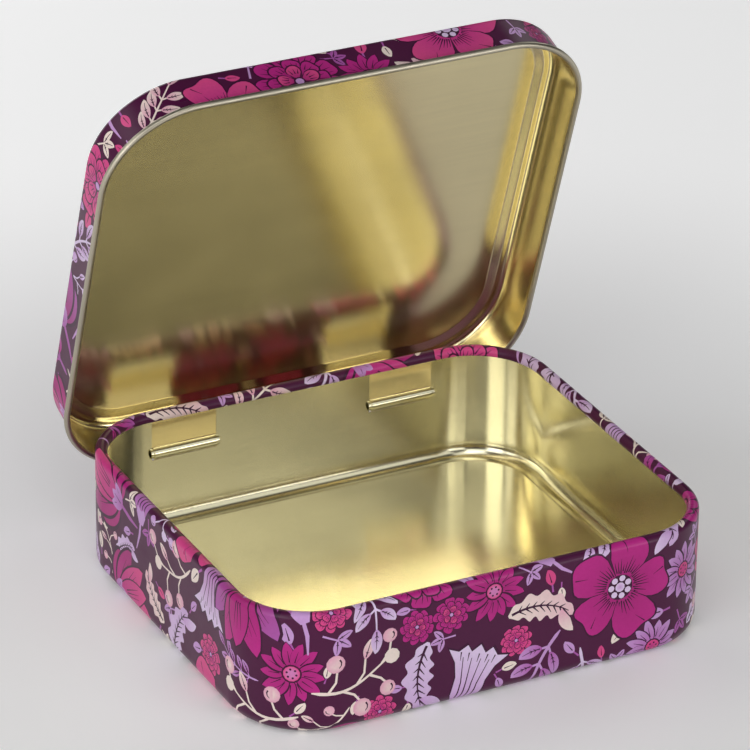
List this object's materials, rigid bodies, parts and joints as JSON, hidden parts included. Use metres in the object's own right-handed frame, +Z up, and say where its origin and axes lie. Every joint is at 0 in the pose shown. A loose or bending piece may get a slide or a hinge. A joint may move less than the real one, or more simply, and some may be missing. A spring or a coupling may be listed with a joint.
{
  "type": "hinged sewing tin",
  "caption": "Low rectangular tinplate box with rounded corners and a lid hinged on rolled tongues, floral print outside and gold lacquer inside.",
  "frame": {"origin": "centre of the foot plane that the tin stands on", "axes": "+Z up from the foot; +X to the right as the opening is faced; -Y to the front, where the lid opens; the hinge line is parallel to X in the rear wall"},
  "size_m": [0.1258, 0.1214, 0.1277],
  "materials": {
    "printed_tinplate": "gloss print on the outer face",
    "gold_lacquer": "clear gold lacquer over bright tinplate, inside",
    "bare_tinplate": "plain tinplate on the lid's rolled edge"
  },
  "bodies": {
    "base": {"tin_base": "printed_tinplate"},
    "lid": {"tin_lid": "printed_tinplate"}
  },
  "joints": [
    {"name": "lid_hinge", "type": "hinge", "parent": "base", "child": "lid", "pos_m": [0, 0.05437, 0.0192], "axis": [-1, 0, 0], "range_deg": [-71.7, 28.3]}
  ]
}
